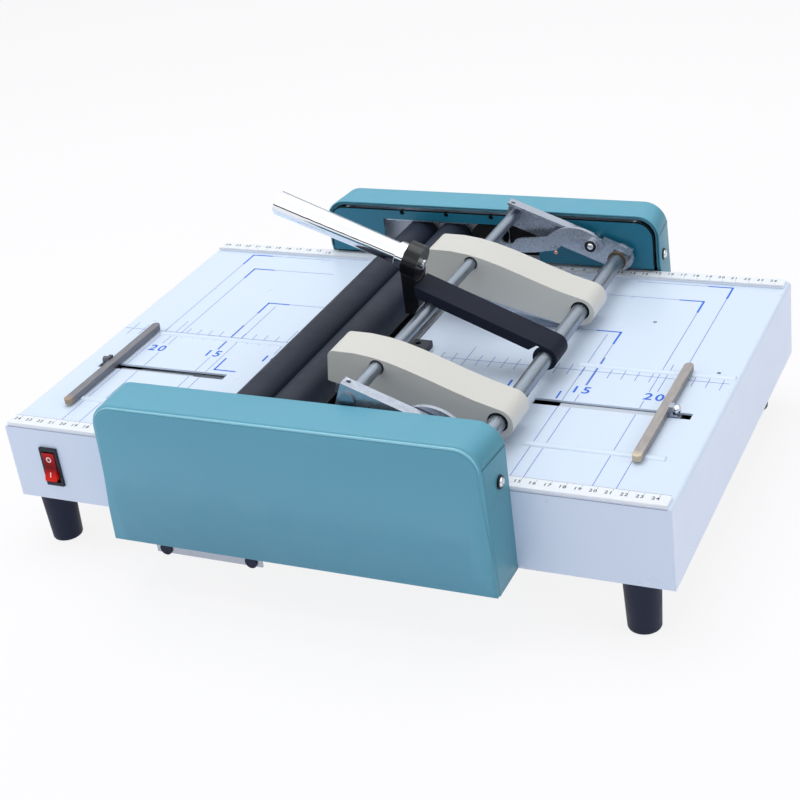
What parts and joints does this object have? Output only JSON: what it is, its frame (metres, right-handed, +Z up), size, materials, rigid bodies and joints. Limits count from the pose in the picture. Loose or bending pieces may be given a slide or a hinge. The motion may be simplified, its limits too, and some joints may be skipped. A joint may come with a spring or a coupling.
{
  "type": "booklet maker",
  "caption": "Tabletop booklet maker with a hand-pressed stapling frame over a printed sheet-metal table and powered fold rollers",
  "frame": {"origin": "On the floor plane of the four feet, under the crossing of the table's two printed axes, which is the centre of the outline seen from above", "axes": "+X runs to the right along the table, away from the switch's end; +Y runs from the front cover to the back cover; +Z is up"},
  "size_m": [0.5, 0.392, 0.2281],
  "materials": {
    "pale_paint": "satin powder coat",
    "teal_paint": "satin powder coat",
    "dark_teal_paint": "satin powder coat",
    "cream_paint": "smooth enamel",
    "black_paint": "semi-gloss enamel",
    "zinc": "zinc plated, matt",
    "steel": "ground steel",
    "bright": "polished chrome",
    "alu": "anodised, printed",
    "black_rubber": "matt",
    "roller_rubber": "smooth ground rubber",
    "black_plastic": "matt",
    "grey_plastic": "matt",
    "gear_plastic": "matt",
    "red_plastic": "glossy",
    "gear_brass": "machined"
  },
  "bodies": {
    "base": {"base_shell": "pale_paint", "under_plate": "zinc", "fold_plate": "black_paint", "anvil_bar": "steel", "clinch_strip": "steel", "centre_block": "black_plastic", "foot_front_left": "black_rubber", "foot_front_right": "black_rubber", "foot_back_left": "black_rubber", "foot_back_right": "black_rubber", "guide_front": "alu", "guide_back": "alu", "cover_front": "teal_paint", "cover_back": "teal_paint", "inner_plate_front": "dark_teal_paint", "inner_plate_back": "dark_teal_paint", "bearing_frame_front": "zinc", "bearing_frame_back": "zinc", "cover_screw_front_left": "bright", "cover_screw_front_right": "bright", "cover_screw_back_left": "bright", "cover_screw_back_right": "bright", "lower_bracket": "zinc", "grommets": "black_rubber", "main_shaft": "steel", "latch_stud_front": "bright", "latch_stud_back": "bright", "fold_motor": "black_paint", "knife_motor": "black_paint", "knife_guide_front": "steel", "knife_guide_back": "steel", "switch_bezel": "black_plastic", "power_inlet": "black_plastic"},
    "roller_left": {"roller_sleeve_left": "roller_rubber", "roller_shaft_left": "steel"},
    "roller_right": {"roller_sleeve_right": "roller_rubber", "roller_shaft_right": "steel"},
    "idler": {"idler_gear": "gear_plastic"},
    "pinion": {"motor_pinion": "gear_brass"},
    "knife": {"fold_knife": "steel"},
    "rocker": {"switch_rocker": "red_plastic"},
    "stop_left": {"stop_bar_left": "grey_plastic", "stop_block_left": "zinc"},
    "stop_right": {"stop_bar_right": "grey_plastic", "stop_block_right": "zinc"},
    "press": {"press_arm": "black_paint", "arm_post": "black_paint", "collar": "black_paint", "collar_bolt": "bright", "handle_tube": "bright", "handle_ferrule": "bright", "press_rod": "steel", "bracket_front": "zinc", "bracket_back": "zinc"},
    "head_front": {"head_cover_front": "cream_paint", "staple_rail_front": "zinc"},
    "head_back": {"head_cover_back": "cream_paint", "staple_rail_back": "zinc"},
    "latch_front": {"latch_lever_front": "zinc"},
    "latch_back": {"latch_lever_back": "zinc"}
  },
  "joints": [
    {"name": "press_swing", "type": "hinge", "parent": "base", "child": "press", "pos_m": [0.1195, 0, 0.1175], "axis": [0, 1, 0], "range_deg": [-12, 0], "stiffness_Nm_per_rad": 2.2, "springref_deg": 51.57},
    {"name": "head_front_slide", "type": "slide", "parent": "press", "child": "head_front", "axis": [0, 1, 0], "range_m": [-0.025, 0.05]},
    {"name": "head_back_slide", "type": "slide", "parent": "press", "child": "head_back", "axis": [0, 1, 0], "range_m": [-0.035, 0.045]},
    {"name": "roller_left_turn", "type": "hinge", "parent": "base", "child": "roller_left", "pos_m": [-0.05505, 0, 0.119], "axis": [0, 1, 0], "continuous": true},
    {"name": "roller_right_turn", "type": "hinge", "parent": "base", "child": "roller_right", "pos_m": [-0.02545, 0, 0.119], "axis": [0, 1, 0], "continuous": true},
    {"name": "idler_turn", "type": "hinge", "parent": "base", "child": "idler", "pos_m": [-0.06517, -0.185, 0.09119], "axis": [0, 1, 0], "continuous": true},
    {"name": "pinion_turn", "type": "hinge", "parent": "base", "child": "pinion", "pos_m": [-0.06903, -0.185, 0.06932], "axis": [0, 1, 0], "continuous": true},
    {"name": "knife_lift", "type": "slide", "parent": "base", "child": "knife", "axis": [0, 0, 1], "range_m": [0, 0.016]},
    {"name": "rocker_tilt", "type": "hinge", "parent": "base", "child": "rocker", "pos_m": [-0.2154, -0.1565, 0.0691], "axis": [1, 0, 0], "range_deg": [0, 17]},
    {"name": "stop_left_slide", "type": "slide", "parent": "base", "child": "stop_left", "axis": [1, 0, 0], "range_m": [-0.002, 0.094]},
    {"name": "stop_right_slide", "type": "slide", "parent": "base", "child": "stop_right", "axis": [1, 0, 0], "range_m": [-0.073, 0.008]},
    {"name": "latch_front_tilt", "type": "hinge", "parent": "base", "child": "latch_front", "pos_m": [0.101, -0.1445, 0.1314], "axis": [0, 1, 0], "range_deg": [-6, 0], "stiffness_Nm_per_rad": 0.05, "springref_deg": 34.38},
    {"name": "latch_back_tilt", "type": "hinge", "parent": "base", "child": "latch_back", "pos_m": [0.101, 0.1445, 0.1314], "axis": [0, 1, 0], "range_deg": [-6, 0], "stiffness_Nm_per_rad": 0.05, "springref_deg": 34.38}
  ],
  "couplings": [
    {"joint": "roller_right_turn", "follows": "roller_left_turn", "ratio": -1},
    {"joint": "idler_turn", "follows": "roller_left_turn", "ratio": -1},
    {"joint": "pinion_turn", "follows": "roller_left_turn", "ratio": 2}
  ]
}
